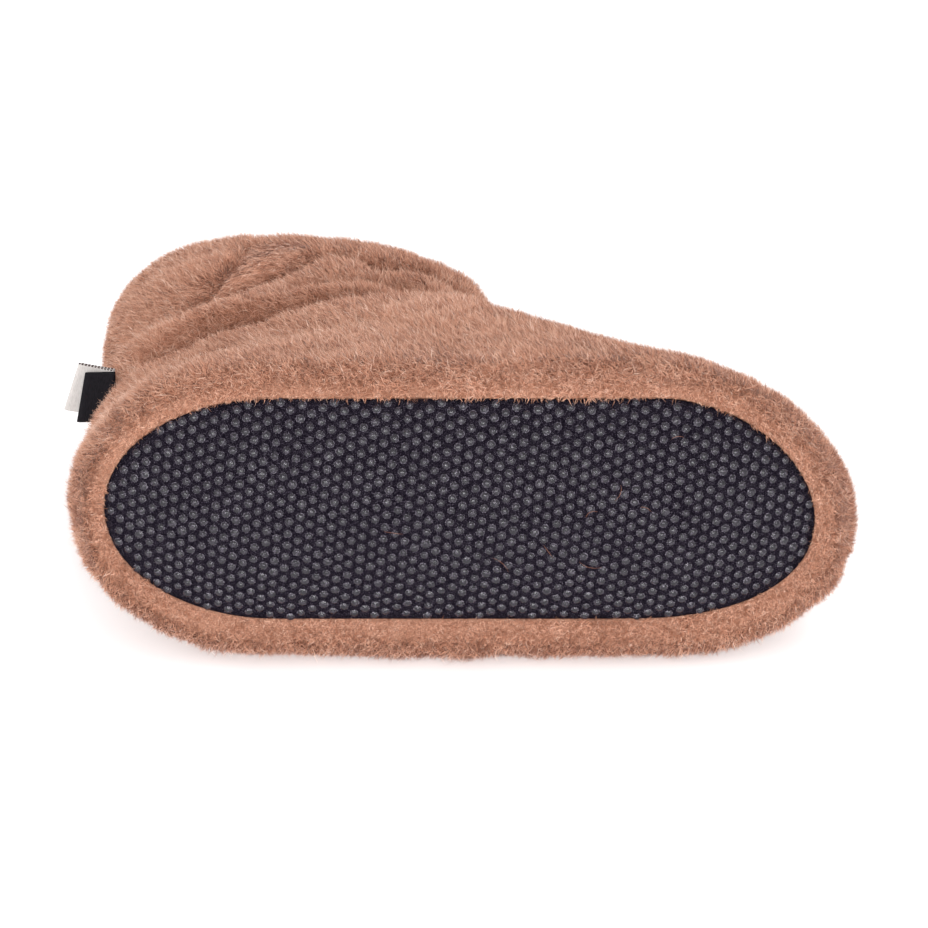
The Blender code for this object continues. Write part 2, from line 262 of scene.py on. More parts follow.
# The studio: a glowing white table, light all round, and three square lamps that look at the shoe.
TABLE_REACH = 6.0
TABLE_COLOUR = (0.93, 0.93, 0.94, 1)
TABLE_GLOW_COLOUR = (0.99, 0.985, 1.0, 1)
TABLE_GLOW = 0.185
ROUND_LIGHT = 1.04
LAMP_AIM = (0, 0, 0.05)
LAMPS = (  # name, place, size, power
    ("left_softbox", (-0.30, -1.22, 0.58), 0.26, 6.1),
    ("right_softbox", (0.38, -1.25, 0.50), 0.20, 5.0),
    ("back_softbox", (0.35, 1.0, 1.0), 0.9, 6.2),
)

# The photograph's camera.
PHOTO_PIXELS = 928
FOCAL_PIXELS = 2860
SENSOR_WIDTH = 36.0
CAMERA_DISTANCE = 1.0
CAMERA_ELEVATION = math.radians(33)
AIM_RIGHT = 0.00105
AIM_UP = 0.0227
CLIP_RANGE = (0.01, 50)

half_sole = SOLE_WIDTH / 2
floor_depth = half_sole + INNER_OVERHANG + FLOOR_OFFSET
tilt = -(math.pi / 2 + LEAN_BACK)
TURN = np.array([[1, 0, 0], [0, math.cos(tilt), -math.sin(tilt)], [0, math.sin(tilt), math.cos(tilt)]])


def smooth_step(low, high, value):
    """0 below low and 1 above high, with a smooth s-curve between."""
    share = np.clip((value - low) / (high - low), 0.0, 1.0)
    return share * share * (3 - 2 * share)


def unit(vectors):
    return vectors / np.maximum(np.linalg.norm(vectors, axis=-1, keepdims=True), 1e-12)


def lattice_value(cells, salt):
    """A steady number from 0 to 1 for each whole-numbered cell, from a hash of its three numbers."""
    mixed = cells[..., 0] * 73856093 ^ cells[..., 1] * 19349663 ^ cells[..., 2] * 83492791 ^ (salt * 40503)
    mixed = ((mixed ^ (mixed >> 13)) * 1274126177) & 0xFFFFFFFF
    mixed = ((mixed ^ (mixed >> 15)) * 2246822519) & 0xFFFFFFFF
    return ((mixed ^ (mixed >> 16)) & 0xFFFF) / 0xFFFF


def soft_noise(points, size, salt):
    """Smooth noise from -1 to 1: values at the corners of cubes of this size, blended by smooth steps."""
    cell = np.floor(points / size).astype(np.int64)
    part = smooth_step(0.0, 1.0, points / size - cell)
    total = 0.0
    for corner in itertools.product((0, 1), repeat=3):
        weight = np.prod(np.where(np.array(corner) == 1, part, 1 - part), axis=-1)
        total = total + weight * lattice_value(cell + np.array(corner), salt)
    return 2 * total - 1


def tuft_middles(points, size, salt):
    """For each point the nearest tuft's middle. Each cube of this size holds one, at a scattered place."""
    cell = np.floor(points / size).astype(np.int64)
    nearest = np.zeros_like(points)
    shortest = np.full(len(points), np.inf)
    for step in itertools.product((-1, 0, 1), repeat=3):
        beside = cell + np.array(step)
        scatter = np.stack([lattice_value(beside, salt + axis) for axis in range(3)], axis=-1)
        middle = (beside + scatter) * size
        away = ((middle - points) ** 2).sum(axis=-1)
        closer = away < shortest
        nearest[closer] = middle[closer]
        shortest = np.minimum(shortest, away)
    return nearest


def toe_spring(x):
    """Lift of the sole towards the toe, growing as the square of the distance past its start."""
    past = np.clip((x - (SOLE_LENGTH - TOE_SPRING_LENGTH)) / TOE_SPRING_LENGTH, 0.0, None)
    return TOE_SPRING * past**2


def toe_swing(x):
    """Turn of the toe towards the inner side, growing as the square of the distance past its start."""
    past = np.clip((x - (SOLE_LENGTH - TOE_SWING_LENGTH)) / TOE_SWING_LENGTH, 0.0, None)
    return TOE_SWING * past**2


def outline(back, front, outer, inner, back_round, front_round, count):
    """Closed plan outline: straight sides with an elliptic end of its own length at heel and toe.

    Points run evenly from the toe along the outer side to the heel, and back along the inner side.
    """
    turn = np.linspace(0.0, math.pi, FINE_STEPS)
    along = np.cos(turn)
    x = np.where(along > 0, front - front_round * (1 - along), back + back_round * (1 + along))
    reach = np.sin(turn)
    middle = (inner - outer) / 2
    half = (inner + outer) / 2
    steps = np.hypot(np.diff(x), np.diff(half * reach))
    travelled = np.concatenate([[0.0], np.cumsum(steps)])
    wanted = np.linspace(0.0, travelled[-1], count // 2 + 1)
    x_side = np.interp(wanted, travelled, x)
    reach_side = np.interp(wanted, travelled, reach)
    x_all = np.concatenate([x_side, x_side[-2:0:-1]])
    y_all = np.concatenate([middle - half * reach_side, (middle + half * reach_side)[-2:0:-1]])
    return x_all, y_all + toe_swing(x_all)


def sole_height(x, y):
    """The crowned bottom of the sole: lowest along its middle, and at the edge as high as the toe spring."""
    return toe_spring(x) - SOLE_CROWN * (1 - share_to_edge(x, y))


def share_to_edge(x, y):
    """0 on the sole's middle line and 1 at its edge: a sum of squares across it and into its round ends."""
    heel = np.clip((SOLE_HEEL_ROUND - x) / SOLE_HEEL_ROUND, 0.0, None)
    toe = np.clip((x - (SOLE_LENGTH - SOLE_TOE_ROUND)) / SOLE_TOE_ROUND, 0.0, None)
    return ((y - toe_swing(x)) / half_sole) ** 2 + heel**2 + toe**2


def sole_normal(x, y):
    """Unit normals of the crowned bottom, pointing up into the shoe, from its slopes."""
    step = SLOPE_STEP
    slope_x = (sole_height(x + step, y) - sole_height(x - step, y)) / (2 * step)
    slope_y = (sole_height(x, y + step) - sole_height(x, y - step)) / (2 * step)
    return unit(np.stack([-slope_x, -slope_y, np.ones_like(x)], axis=-1))


def sole_rings(inset, lift, shares):
    """Rings that shrink from the sole's edge to its middle line by these shares, lifted along its normal."""
    half = half_sole - inset
    edge_x, edge_y = outline(inset, SOLE_LENGTH - inset, half, half,
                             SOLE_HEEL_ROUND - inset, SOLE_TOE_ROUND - inset, POINTS_AROUND)
    spine_x = np.clip(edge_x, SOLE_HEEL_ROUND, SOLE_LENGTH - SOLE_TOE_ROUND)
    x = spine_x + (edge_x - spine_x) * shares[:, None]
    y = toe_swing(x) + (edge_y - toe_swing(edge_x)) * shares[:, None]
    return np.stack([x, y, sole_height(x, y)], axis=-1) + np.reshape(lift, (-1, 1, 1)) * sole_normal(x, y)


def section_rings():
    """The sections of the upper and shaft as rings of points, from the sole's edge to the collar."""
    x, y = outline(-GAP, SOLE_LENGTH + GAP, half_sole + GAP, half_sole + GAP,
                   SOLE_HEEL_ROUND, SOLE_TOE_ROUND, POINTS_AROUND)
    rings = [np.stack([x, y, toe_spring(x)], axis=-1)]
    upper_toe = SOLE_LENGTH + TOE_OVERHANG
    for _, back, front, back_rise, front_rise, outer, inner, back_round, front_round in SECTIONS:
        back_x = -back * HEEL_OVERHANG
        front_x = front * upper_toe
        length = front_x - back_x
        outer_reach = outer * (half_sole + OUTER_OVERHANG)
        inner_reach = inner * (half_sole + INNER_OVERHANG)
        x, y = outline(back_x, front_x, outer_reach, inner_reach, back_round * length, front_round * length,
                       POINTS_AROUND)
        back_height = np.interp(back_rise, (0, 1, 2), (0, HEEL_HEIGHT, COLLAR_HEIGHT))
        front_height = np.interp(front_rise, (0, 1, 2), (0, INSTEP_HEIGHT, COLLAR_HEIGHT))
        height = back_height + (front_height - back_height) * (x - back_x) / length
        rings.append(np.stack([x, y, height + toe_spring(x)], axis=-1))
    return np.array(rings)


def smooth_rings(rings):
    """Rings between the sections, on a curve that passes through every section (Catmull-Rom)."""
    ends = np.concatenate([2 * rings[:1] - rings[1:2], rings, 2 * rings[-1:] - rings[-2:-1]])
    made = []
    for k in range(len(rings) - 1):
        before, start, stop, after = ends[k:k + 4]
        for t in np.arange(RINGS_PER_SECTION) / RINGS_PER_SECTION:
            made.append(0.5 * (2 * start + (stop - before) * t
                               + (2 * before - 5 * start + 4 * stop - after) * t**2
                               + (3 * start - before - 3 * stop + after) * t**3))
    made.append(rings[-1])
    return np.array(made)


def lift_off_floor(points, clearance):
    """Lifts points of the shoe's frame that would lie below this height over the floor up to it."""
    up = np.array([0.0, -math.cos(LEAN_BACK), -math.sin(LEAN_BACK)])
    below = np.clip(clearance - (points @ up + floor_depth), 0.0, None)
    return points + below[..., None] * up


def tube_normals(rings):
    """Outward unit normals of a tube of rings, from the differences between neighbouring points."""
    around = np.roll(rings, -1, axis=1) - np.roll(rings, 1, axis=1)
    return unit(np.cross(np.gradient(rings, axis=0), around))


def fold_relief(points):
    """How far the folds move the wool out or in, how much of that is narrow, and how they comb the pile.

    Each fold is a bell curve of the distance from its line. The line is a parabola through the side view, so
    a fold keeps its place when it runs over the ankle's edge. Folds lie on the side that is on top.
    """
    seen = points[..., [0, 2]]
    relief = np.zeros(points.shape[:-1])
    narrow = np.zeros(points.shape[:-1])
    combed = np.zeros(points.shape)
    on_top = smooth_step(*TOP_SIDE, points[..., 1])
    scale = np.array([SOLE_LENGTH, COLLAR_HEIGHT])
    t = np.linspace(0.0, 1.0, FOLD_STEPS)[:, None]
    for _, start, over, end, width, height, comb in FOLDS:
        start, over, end = (np.array(place) * scale for place in (start, over, end))
        line = (1 - t) ** 2 * start + 2 * t * (1 - t) * (2 * over - (start + end) / 2) + t**2 * end
        nearest = np.full(relief.shape, np.inf)
        for place in line:
            nearest = np.minimum(nearest, ((seen - place) ** 2).sum(axis=-1))
        bell = on_top * np.exp(-nearest / (width * WOOL_THICKNESS) ** 2)
        relief += height * WOOL_THICKNESS * bell
        narrow += height * WOOL_THICKNESS * bell * (width < NARROW_FOLD)
        back = unit(start - end)
        combed += comb * bell[..., None] * np.array([back[0], 0.0, back[1]])
    return relief, narrow, combed


def wool_surface():
    """Outside rings of the whole wool form, with its folds, slight lumps and the mounds of the pile."""
    rings = smooth_rings(section_rings())
    relief = fold_relief(rings)[0]
    relief += LUMP_HEIGHT * soft_noise(rings, *LUMPS)
    relief += MOUND_HEIGHT * soft_noise(rings, *MOUNDS)
    relief += TOE_SWELL * smooth_step(*TOE_SWELL_REACH, rings[..., 0])
    fade_in = np.minimum(np.arange(len(rings)) / (2.0 * RINGS_PER_SECTION), 1.0)[:, None]
    return lift_off_floor(rings + (relief * fade_in)[..., None] * tube_normals(rings), 0.0)


# Lays points of the shoe's frame down in the world, where the solids are.
sole_bottom = sole_rings(0.0, 0.0, np.linspace(1.0, 0.0, 40)) @ TURN.T
SHIFT = np.array([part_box("sole")[0].x - sole_bottom[..., 0].min(),
                  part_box("sole")[0].y - sole_bottom[..., 1].min(), floor_depth])


def lay_down(points):
    """World places of points in the shoe's frame: the turn about X, then the shift onto the floor."""
    return points @ TURN.T + SHIFT


def closed_grid_faces(rows, columns):
    """Quads of a grid of rings whose last column meets the first, and whose last row meets the first too."""
    index = np.arange(rows * columns).reshape(rows, columns)
    beside = np.roll(index, -1, axis=1)
    above = np.roll(index, -1, axis=0)
    above_beside = np.roll(beside, -1, axis=0)
    return np.stack([index, above, above_beside, beside], axis=-1).reshape(-1, 4)


def open_grid_faces(index):
    """Quads between neighbours of a grid of point numbers that is open at all its edges."""
    quads = (index[..., :-1, :-1], index[..., :-1, 1:], index[..., 1:, 1:], index[..., 1:, :-1])
    return np.stack(quads, axis=-1).reshape(-1, 4)


def new_mesh(name, points, faces, sides, finish, tone=None, shading=None):
    """A mesh object from whole arrays: points laid down, and groups of faces with this many sides each.

    tone becomes an attribute for the finish, and shading holds normals to shade by, not the faces' own.
    """
    mesh = bpy.data.meshes.new(name)
    placed = lay_down(points.reshape(-1, 3))
    mesh.vertices.add(len(placed))
    mesh.vertices.foreach_set("co", placed.astype(np.float32).ravel())
    corners = np.concatenate([np.ravel(group) for group in faces])
    counts = np.concatenate([np.full(len(group), side) for group, side in zip(faces, sides)])
    starts = np.concatenate([[0], np.cumsum(counts)[:-1]])
    mesh.loops.add(len(corners))
    mesh.loops.foreach_set("vertex_index", corners.astype(np.int32))
    mesh.polygons.add(len(counts))
    mesh.polygons.foreach_set("loop_start", starts.astype(np.int32))
    mesh.polygons.foreach_set("use_smooth", np.ones(len(counts), dtype=bool))
    mesh.update(calc_edges=True)
    if tone is not None:
        carried = mesh.attributes.new("tone", "FLOAT", "POINT")
        carried.data.foreach_set("value", tone.astype(np.float32).ravel())
    if shading is not None:
        mesh.normals_split_custom_set_from_vertices((shading.reshape(-1, 3) @ TURN.T).astype(np.float32))
    mesh.materials.append(finish)
    made = bpy.data.objects.new(name, mesh)
    bpy.context.scene.collection.objects.link(made)
    return made


def dress(made, slot, *nodes):
    """A finished piece rides on the shoe and stands for its nodes; its slot is not used."""
    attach(made, "root")
    if nodes:
        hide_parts(*nodes)


def closed_skin(name, grid, finish, slot, node):
    """A dressed skin that closes round its rings and its columns: doubled points merged, faces outwards."""
    made = new_mesh(name, grid, (closed_grid_faces(len(grid), POINTS_AROUND),), (4,), finish)
    work = bmesh.new()
    work.from_mesh(made.data)
    bmesh.ops.remove_doubles(work, verts=work.verts, dist=MERGE_DISTANCE)
    bmesh.ops.recalc_face_normals(work, faces=work.faces)
    work.to_mesh(made.data)
    work.free()
    dress(made, slot, node)


class Finish:
    """Short helpers for one node material."""

    def __init__(self, name, roughness, specular, sheen=0.0, sheen_tint=(1, 1, 1, 1)):
        self.material = bpy.data.materials.new(name)
        self.material.use_nodes = True
        self.nodes = self.material.node_tree.nodes
        self.links = self.material.node_tree.links
        self.shader = self.nodes["Principled BSDF"]
        self.shader.inputs["Roughness"].default_value = roughness
        self.shader.inputs["Specular IOR Level"].default_value = specular
        self.shader.inputs["Sheen Weight"].default_value = sheen
        self.shader.inputs["Sheen Roughness"].default_value = 0.45
        self.shader.inputs["Sheen Tint"].default_value = sheen_tint

    def add(self, kind, **values):
        node = self.nodes.new(kind)
        for key, value in values.items():
            if hasattr(node, key):
                setattr(node, key, value)
            else:
                node.inputs[key.replace("_", " ")].default_value = value
        return node

    def noise(self, size, detail=3.0, roughness=0.55, stretch=(1, 1, 1)):
        """Noise on the piece's own coordinates, with features of this size in metres."""
        places = self.add("ShaderNodeTexCoord")
        spread = self.add("ShaderNodeMapping")
        spread.inputs["Scale"].default_value = tuple(s / size for s in stretch)
        texture = self.add("ShaderNodeTexNoise", Scale=1.0, Detail=detail, Roughness=roughness)
        self.links.new(places.outputs["Object"], spread.inputs["Vector"])
        self.links.new(spread.outputs["Vector"], texture.inputs["Vector"])
        return texture.outputs["Fac"]

    def ramp(self, source, *stops):
        """Colours at places along a ramp, each stop as (place, (red, green, blue))."""
        node = self.add("ShaderNodeValToRGB")
        ramp = node.color_ramp
        while len(ramp.elements) < len(stops):
            ramp.elements.new(0.5)
        for element, (place, colour) in zip(ramp.elements, stops):
            element.position = place
            element.color = (*colour, 1.0)
        self.links.new(source, node.inputs["Fac"])
        return node.outputs["Color"]

    def blend(self, share, low, high):
        """One colour where the share is 0 and the other where it is 1."""
        node = self.add("ShaderNodeMix", data_type="RGBA")
        self.links.new(share, node.inputs["Factor"])
        self.links.new(low, node.inputs["A"])
        self.links.new(high, node.inputs["B"])
        return node.outputs["Result"]

    def tone(self):
        """The tone that the mesh carries."""
        return self.add("ShaderNodeAttribute", attribute_name="tone").outputs["Fac"]

    def colour(self, source):
        self.links.new(source, self.shader.inputs["Base Color"])

    def bump(self, source, distance):
        node = self.add("ShaderNodeBump", Strength=1.0, Distance=distance)
        self.links.new(source, node.inputs["Height"])
        self.links.new(node.outputs["Normal"], self.shader.inputs["Normal"])


WOOL_COLOURS = (
    (0.00, (0.270, 0.104, 0.058)),
    (0.28, (0.460, 0.204, 0.124)),
    (0.52, (0.635, 0.318, 0.208)),
    (0.75, (0.755, 0.445, 0.320)),
    (1.00, (0.890, 0.650, 0.530)),
)


def hair_finish():
    """Wool fibres: colour by the hair's tone, deep at its root as painted shade and pale at its tip as
    painted light, with a soft sheen.
    """
    finish = Finish("wool_pile", roughness=0.65, specular=0.15, sheen=0.30, sheen_tint=(1.0, 0.86, 0.80, 1))
    finish.colour(finish.ramp(finish.tone(), *WOOL_COLOURS))
    return finish.material


def painted_shade_ground_finish():
    """The ground of the pile between the hairs: darker as painted shade deep in the pile, matt and finely
    broken up.
    """
    finish = Finish("wool_ground_painted_shade", roughness=0.95, specular=0.1)
    grain = finish.noise(0.0011, detail=4.0)
    # Darker than the hairs: painted shade deep in the pile.
    finish.colour(finish.ramp(grain, (0.30, (0.280, 0.130, 0.084)), (0.70, (0.500, 0.265, 0.180))))
    finish.bump(grain, distance=0.0012)
    return finish.material


def sole_finish():
    """Dark brushed fabric under the studs, with pale specks of loose fibre."""
    finish = Finish("sole_fabric", roughness=0.9, specular=0.04)
    grain = finish.noise(0.00035, detail=4.0, roughness=0.7)
    finish.colour(finish.ramp(grain, (0.42, (0.002, 0.001, 0.004)), (0.54, (0.010, 0.007, 0.013)),
                              (0.66, (0.095, 0.080, 0.106))))
    finish.bump(grain, distance=0.0005)
    return finish.material


def stud_finish():
    """Studs of glossy near-black rubber, uneven so that highlights break up, with a pale speckled rim."""
    finish = Finish("stud_rubber", roughness=0.18, specular=0.52)
    cloud = finish.noise(0.0007, detail=3.0, roughness=0.75)
    body = finish.ramp(cloud, (0.42, (0.003, 0.002, 0.005)), (0.55, (0.013, 0.009, 0.017)),
                       (0.68, (0.110, 0.094, 0.122)))
    specks = finish.noise(0.0005, detail=2.0)
    rim = finish.ramp(specks, (0.42, (0.003, 0.002, 0.005)), (0.53, (0.050, 0.042, 0.058)),
                      (0.64, (0.240, 0.215, 0.258)))
    finish.colour(finish.blend(finish.tone(), body, rim))
    finish.bump(cloud, distance=0.00012)
    return finish.material


def fuzz_finish():
    """Loose dark fibres on the sole's fabric, from black to pale grey by their tone."""
    finish = Finish("sole_fuzz", roughness=0.7, specular=0.2)
    finish.colour(finish.ramp(finish.tone(), (0.20, (0.008, 0.007, 0.011)), (0.60, (0.030, 0.027, 0.036)),
                              (1.00, (0.160, 0.145, 0.175))))
    return finish.material


def ribbon_finish(name, dark, pale, dark_edge):
    """Woven ribbon: fine crossing yarns as colour and bump, and a dark line of ticks along one edge if it has
    a colour for one.
    """
    finish = Finish(name, roughness=0.6, specular=0.10)
    warp = finish.noise(0.00028, detail=2.0, stretch=(1, 0.2, 0.2))
    weave = finish.ramp(warp, (0.30, dark), (0.70, pale))
    if dark_edge:
        places = finish.add("ShaderNodeTexCoord")
        twist = finish.add("ShaderNodeTexWave", Scale=DARK_TICK_WAVE / DARK_TICK_PITCH, Distortion=1.5)
        finish.links.new(places.outputs["Object"], twist.inputs["Vector"])
        dark_ticks = finish.ramp(twist.outputs["Fac"], (0.55, dark_edge), (0.85, pale))
        edge = finish.ramp(finish.tone(), (0.45, (0, 0, 0)), (0.60, (1, 1, 1)))
        weave = finish.blend(edge, weave, dark_ticks)
    finish.colour(weave)
    finish.bump(warp, distance=0.00012)
    return finish.material


def rounded_collar(outside, inside):
    """The wool's end at the collar: outside and inside ring joined by a half circle as wide as the wall.

    Its crown stays at the collar's height, and its feet lie half a wall below.
    """
    along = unit(outside[-1] - outside[-3])
    radius = WOOL_THICKNESS / 2
    foot_out = outside[-1] - radius * along
    foot_in = inside[-1] - radius * along
    turn = np.linspace(0.0, math.pi, COLLAR_STEPS)[:, None, None]
    middle = (foot_out + foot_in) / 2
    return middle + (foot_out - foot_in) / 2 * np.cos(turn) + radius * np.sin(turn) * along


def scatter_on(grid, normals, weight, count, rng):
    """Places strewn evenly over a grid, thinned by a weight, with the normal and the share round there."""
    beside = np.roll(grid, -1, axis=1)
    area = np.linalg.norm(np.cross(beside[:-1] - grid[:-1], grid[1:] - grid[:-1]), axis=-1)
    chance = (area * weight[:-1]).ravel()
    cell = rng.choice(chance.size, count, p=chance / chance.sum())
    row, column = np.divmod(cell, grid.shape[1])
    next_column = (column + 1) % grid.shape[1]
    up, over = rng.random((2, count, 1))

    def blend(table):
        low = table[row, column] * (1 - over) + table[row, next_column] * over
        high = table[row + 1, column] * (1 - over) + table[row + 1, next_column] * over
        return low * (1 - up) + high * up

    return blend(grid), unit(blend(normals)), (column + over[:, 0]) / grid.shape[1]


def closeness_to_sole(points):
    """1 next to the sole's edge and 0 above the band where the pile changes."""
    return smooth_step(EDGE_BAND, 0.2 * EDGE_BAND, points[:, 2] - toe_spring(points[:, 0]))


def nap_direction(points, normals, combed):
    """Which way the pile lies: back to the heel and up to the collar, and along the folds that comb it.

    Near the sole's edge it turns in over the sole, and it wanders softly everywhere.
    """
    x, y, _ = points.T
    near_sole = closeness_to_sole(points)[:, None]
    spine_x = np.clip(x, SOLE_HEEL_ROUND, SOLE_LENGTH - SOLE_TOE_ROUND)
    outward = unit(np.stack([x - spine_x, y - toe_swing(x), 0 * x], axis=-1))
    on_side = np.array(NAP_ON_SIDE)
    inwards = 0.42 + 0.48 * smooth_step(-0.3, 0.7, outward[:, 1:2])
    at_edge = np.array(NAP_AT_EDGE) - inwards * outward
    drift = 0.0
    for size, seed in (WIDE_DRIFT, FINE_DRIFT):
        wander = np.stack([soft_noise(points, size, seed + axis) for axis in range(3)], axis=-1)
        drift = drift + DRIFT_STRENGTH * wander
    way = on_side * (1 - near_sole) + at_edge * near_sole + drift + combed
    return unit(way - (way * normals).sum(axis=-1, keepdims=True) * normals)


def turn_about(vectors, axes, angles):
    """Vectors square to their axes, turned about them."""
    return vectors * np.cos(angles)[:, None] + np.cross(axes, vectors) * np.sin(angles)[:, None]


def leaning(normals, way, angles):
    """Directions at these angles from the normals, towards a way that is square to them."""
    return normals * np.cos(angles)[:, None] + way * np.sin(angles)[:, None]


def hair_strips(roots, normals, nap, length, lean, stray, width, bend_share, tuft_pull, rng):
    """Each hair as a root, the two sides of its bend, where it is widest, and a tip, and normals to shade by.

    Its part below the bend leans less than the part above, which also turns aside. The tip is drawn towards
    the middle of its tuft, within the surface.
    """
    count = len(roots)
    low_way = turn_about(nap, normals, stray)
    high_way = turn_about(nap, normals, stray + rng.normal(0.0, HAIR_CURL, count) * bend_share)
    high_lean = np.minimum(lean * (1 - LOW_LEAN * bend_share) / (1 - bend_share), HIGH_LEAN_MOST)
    bend = roots + leaning(normals, low_way, LOW_LEAN * lean) * (bend_share * length)[:, None]
    tip = bend + leaning(normals, high_way, high_lean) * ((1 - bend_share) * length)[:, None]
    tuft = tuft_middles(tip, TUFT_SIZE, TUFT_SEED) - tip
    tuft -= (tuft * normals).sum(axis=-1, keepdims=True) * normals
    reach = np.linalg.norm(tuft, axis=-1, keepdims=True)
    tuft *= np.minimum(1.0, TUFT_SIZE / np.maximum(reach, 1e-9))
    tuft *= tuft_pull[:, None]
    tip = tip + tuft
    bend = bend + BEND_FOLLOWS * tuft
    along = unit(tip - roots)
    across = turn_about(unit(np.cross(along, normals) + 1e-6), along, rng.normal(0.0, HAIR_TWIST, count))
    facing = np.cross(across, along)
    outwards = np.where((facing * normals).sum(axis=-1, keepdims=True) < 0, -1.0, 1.0)
    side = outwards * across * (width / 2)[:, None]
    shade = unit(SURFACE_SHADE * normals + (1 - SURFACE_SHADE) * outwards * facing)
    corners = np.stack([roots, bend + side, bend - side, tip], axis=1)
    return corners, np.repeat(shade[:, None], 4, axis=1)


def hair_mesh(name, corners, bent, tones, shades, finish):
    """A mesh of hairs: a slim triangle from each bend to its tip, and one from the root of bent ones."""
    used = np.ones(corners.shape[:2], dtype=bool)
    used[~bent, 0] = False
    index = (np.cumsum(used) - 1).reshape(used.shape)
    triangles = (index[:, [1, 3, 2]], index[bent][:, [0, 1, 2]])
    points = lift_off_floor(corners[used], FLOOR_CLEARANCE)
    return new_mesh(name, points, triangles, (3, 3), finish, tones[used], shades[used])


def grow_pile(names, roots, normals, around, length_scale, rng, finish, slot="wool"):
    """Grows one hair at each root and parts them into pieces by their place round the shoe.

    Lengths, leans, strays and tones are chance about values that drift with soft noise. Next to the sole the
    pile is shorter, curlier and ragged. Where specks of noise peak at a hair's bend or tip, it is darkened as
    painted shade of gaps in the pile, most next to the sole. Tones also carry painted shade at the roots and
    in narrow troughs, and painted light at the tips and on narrow ridges.
    """
    count = len(roots)
    _, narrow, combed = fold_relief(roots)
    nap = nap_direction(roots, normals, combed)
    near_sole = closeness_to_sole(roots)
    at_edge = smooth_step(0.3 * EDGE_BAND, 0.0, roots[:, 2] - toe_spring(roots[:, 0]))
    long_hair = rng.random(count) < LONG_HAIR_SHARE + (EDGE_LONG_SHARE - LONG_HAIR_SHARE) * at_edge
    length = HAIR_LENGTH * length_scale * rng.uniform(*LENGTH_RANGE, count)
    length *= 1 + 0.15 * soft_noise(roots, *LENGTH_PATCHES)
    ragged = 1 + 0.5 * soft_noise(roots, *FINE_RAGS) + 0.5 * soft_noise(roots, *WIDE_RAGS)
    length *= np.clip(1 - (1 - EDGE_LENGTH) * at_edge * np.where(long_hair, 0.5, ragged), 0.15, 1.0)
    length *= np.clip(1 + 120 * narrow, 0.55, 1.0) * (1 + 0.30 * long_hair)
    lean = HAIR_LEAN * (1 + 0.24 * soft_noise(roots, *LEAN_PATCHES)) + rng.normal(0.0, LEAN_SPREAD, count)
    lean *= 1 - 0.25 * at_edge
    comb = np.linalg.norm(combed, axis=-1)
    lean += COMB_LEAN * comb
    lean = np.clip(lean * (1 - 0.22 * long_hair), *LEAN_RANGE)
    stray = rng.normal(0.0, 1.0, count) * (HAIR_STRAY + (EDGE_STRAY - HAIR_STRAY) * near_sole)
    stray *= 1 - COMB_CALM * np.clip(comb / COMB_LIMIT, 0.0, 1.0)
    width = HAIR_WIDTH * rng.uniform(*WIDTH_RANGE, count) * (1 - (0.2 + 0.25 * at_edge) * long_hair)
    bent = long_hair | (rng.random(count) < BENT_SHARE + (EDGE_BENT_SHARE - BENT_SHARE) * near_sole)
    width = np.where(bent, 0.75 * width, width)
    bend_share = np.where(bent, BENT_BEND, FINE_BEND)
    tuft_pull = TUFT_PULL + (EDGE_TUFT_PULL - TUFT_PULL) * near_sole
    corners, shades = hair_strips(roots, normals, nap, length, lean, stray, width, bend_share, tuft_pull, rng)
    base = TONE_MIDDLE + rng.normal(0.0, TONE_SPREAD, count)
    base += 0.08 * soft_noise(roots, *FINE_TONES) + 0.06 * soft_noise(roots, *WIDE_TONES)
    # Painted shade in narrow troughs, painted light on narrow ridges.
    base += TROUGH_PAINTED_SHADE * np.minimum(narrow, 0.0) + RIDGE_PAINTED_LIGHT * np.maximum(narrow, 0.0)
    base += LONG_TONE * long_hair * (1 - at_edge)
    # Painted shade of gaps in the pile: tone darkened where speck noise peaks at a hair's bend or tip, more
    # next to the sole.
    specks = np.stack([soft_noise(corners[:, corner], *SHADE_SPECKS) for corner in (1, 3)], axis=-1)
    shaded_gaps = np.clip(specks - SHADE_GAP_START, 0.0, None) / (1 - SHADE_GAP_START)
    specks = -(0.18 + 0.10 * near_sole)[:, None] * specks - (0.50 + 0.30 * near_sole)[:, None] * shaded_gaps
    # Painted shade low on each hair and at its root, painted light at its tip.
    low_painted_shade = np.where(bent, 0.0, FINE_LOW_PAINTED_SHADE)
    along = np.stack([low_painted_shade + ROOT_PAINTED_SHADE, low_painted_shade, low_painted_shade, TIP_PAINTED_LIGHT + 0 * base], axis=-1)
    tones = np.clip(base[:, None] + along + specks[:, [0, 0, 0, 1]], 0.0, 1.0)
    order = np.argsort(around, kind="stable")
    for name, part in zip(names, np.array_split(order, len(names))):
        dress(hair_mesh(name, corners[part], bent[part], tones[part], shades[part], finish), slot)


